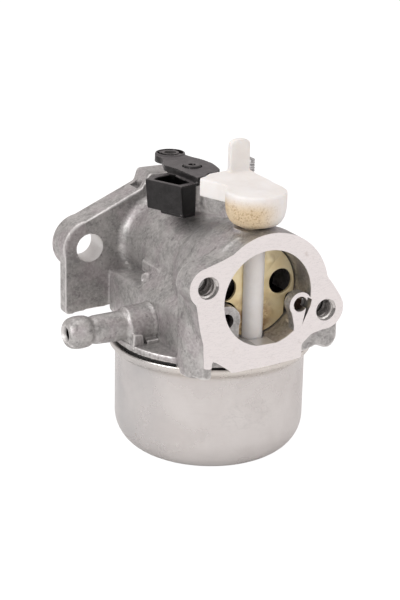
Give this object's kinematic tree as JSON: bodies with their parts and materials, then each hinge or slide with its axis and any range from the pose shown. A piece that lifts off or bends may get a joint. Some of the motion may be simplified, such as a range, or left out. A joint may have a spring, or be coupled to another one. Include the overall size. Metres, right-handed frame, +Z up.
{
  "type": "carburetor",
  "caption": "Single-barrel float-bowl carburetor with a cast body, two-bolt engine flange, hose barb, round fuel bowl, and turning choke and throttle levers.",
  "frame": {"origin": "centre of the throttle bore on the engine face of the rear flange", "axes": "+Y along the bore towards the engine, +X to the right seen from the air intake, +Z up out of the float bowl"},
  "size_m": [0.0756, 0.0668, 0.0921],
  "materials": {
    "cast_alloy": "as-cast, with the intake face machined bright",
    "bowl_steel": "satin drawn sheet",
    "steel": "turned, dull",
    "brass": "turned",
    "gold_zinc": "pale gold plated sheet",
    "white_plastic": "moulded, milky, fuel-stained cup",
    "black_plastic": "moulded, fine grain",
    "float_plastic": "moulded",
    "rubber": "matte"
  },
  "bodies": {
    "casting": {"carburetor_body": "cast_alloy", "float_bowl": "bowl_steel", "bowl_gasket": "rubber", "bowl_nut": "brass", "bowl_nut_washer": "rubber", "main_nozzle": "brass", "idle_jet": "brass", "inlet_seat": "brass", "float_pin": "steel", "throttle_shaft_seal": "rubber", "idle_mixture_spring": "steel", "idle_passage_plug": "steel"},
    "choke": {"choke_shaft_lever": "white_plastic", "choke_plate": "gold_zinc"},
    "throttle": {"throttle_shaft_lever": "black_plastic", "throttle_plate": "brass", "throttle_plate_screw_1": "steel", "throttle_plate_screw_2": "steel"},
    "float_assembly": {"float": "float_plastic"},
    "needle": {"inlet_needle": "steel"},
    "mixture_screw": {"idle_mixture_screw": "steel"}
  },
  "joints": [
    {"name": "choke_pivot", "type": "hinge", "parent": "casting", "child": "choke", "pos_m": [0, -0.0582, 0], "axis": [0, 0, 1], "range_deg": [0, 75]},
    {"name": "throttle_pivot", "type": "hinge", "parent": "casting", "child": "throttle", "pos_m": [0, -0.0237, 0], "axis": [0, 0, 1], "range_deg": [-75, 0]},
    {"name": "float_hinge", "type": "hinge", "parent": "casting", "child": "float_assembly", "pos_m": [-0.0215, -0.036, -0.025], "axis": [0, -1, 0], "range_deg": [0, 10]},
    {"name": "needle_slide", "type": "slide", "parent": "casting", "child": "needle", "axis": [0, 0, 1], "range_m": [0, 0.00125]},
    {"name": "mixture_screw_turn", "type": "hinge", "parent": "casting", "child": "mixture_screw", "pos_m": [0.0123, -0.032, 0], "axis": [0, 0, 1], "range_deg": [-180, 180]}
  ],
  "couplings": [
    {"joint": "needle_slide", "follows": "float_hinge", "m_per_rad": 0.007}
  ]
}
